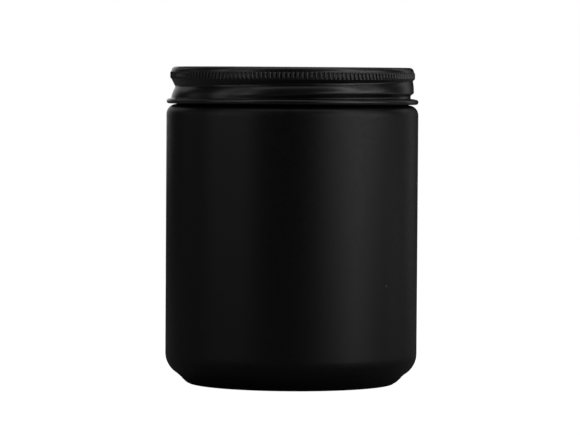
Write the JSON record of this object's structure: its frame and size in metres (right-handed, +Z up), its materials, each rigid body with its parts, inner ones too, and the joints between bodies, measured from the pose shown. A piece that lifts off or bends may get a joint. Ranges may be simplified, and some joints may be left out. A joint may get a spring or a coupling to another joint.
{
  "type": "candle jar with screw lid",
  "caption": "Straight-sided round candle jar in matt black coated glass, with a knurled black metal screw lid, wax and a wick on a crimped steel tab.",
  "frame": {"origin": "centre of the ring that the jar stands on", "axes": "+Z up along the jar's axis, -Y towards the viewer, +X to the viewer's right"},
  "size_m": [0.073, 0.073, 0.0917],
  "materials": {
    "coated_glass": "matt black sprayed coat on glass, opaque",
    "lid_metal": "satin black lacquer outside, clear lacquer inside",
    "liner_foam": "matt closed-cell foam",
    "candle_wax": "smooth, slightly mottled wax",
    "wick_cotton": "braided cotton primed with wax",
    "tab_steel": "bright pressed sheet",
    "sticker_foam": "matt foam tape"
  },
  "bodies": {
    "jar": {"jar_glass": "coated_glass", "wax": "candle_wax", "wick": "wick_cotton", "wick_tab": "tab_steel", "wick_sticker": "sticker_foam"},
    "liner": {"lid_liner": "liner_foam"},
    "lid": {"lid_shell": "lid_metal"}
  },
  "joints": [
    {"name": "lid_lift", "type": "slide", "parent": "jar", "child": "liner", "axis": [0, 0, 1], "range_m": [0, 0.0254]},
    {"name": "lid_turn", "type": "hinge", "parent": "liner", "child": "lid", "pos_m": [0, 0, 0.0862], "axis": [0, 0, 1], "range_deg": [0, 2160]}
  ],
  "couplings": [
    {"joint": "lid_lift", "follows": "lid_turn", "m_per_rad": 0.00067375}
  ]
}
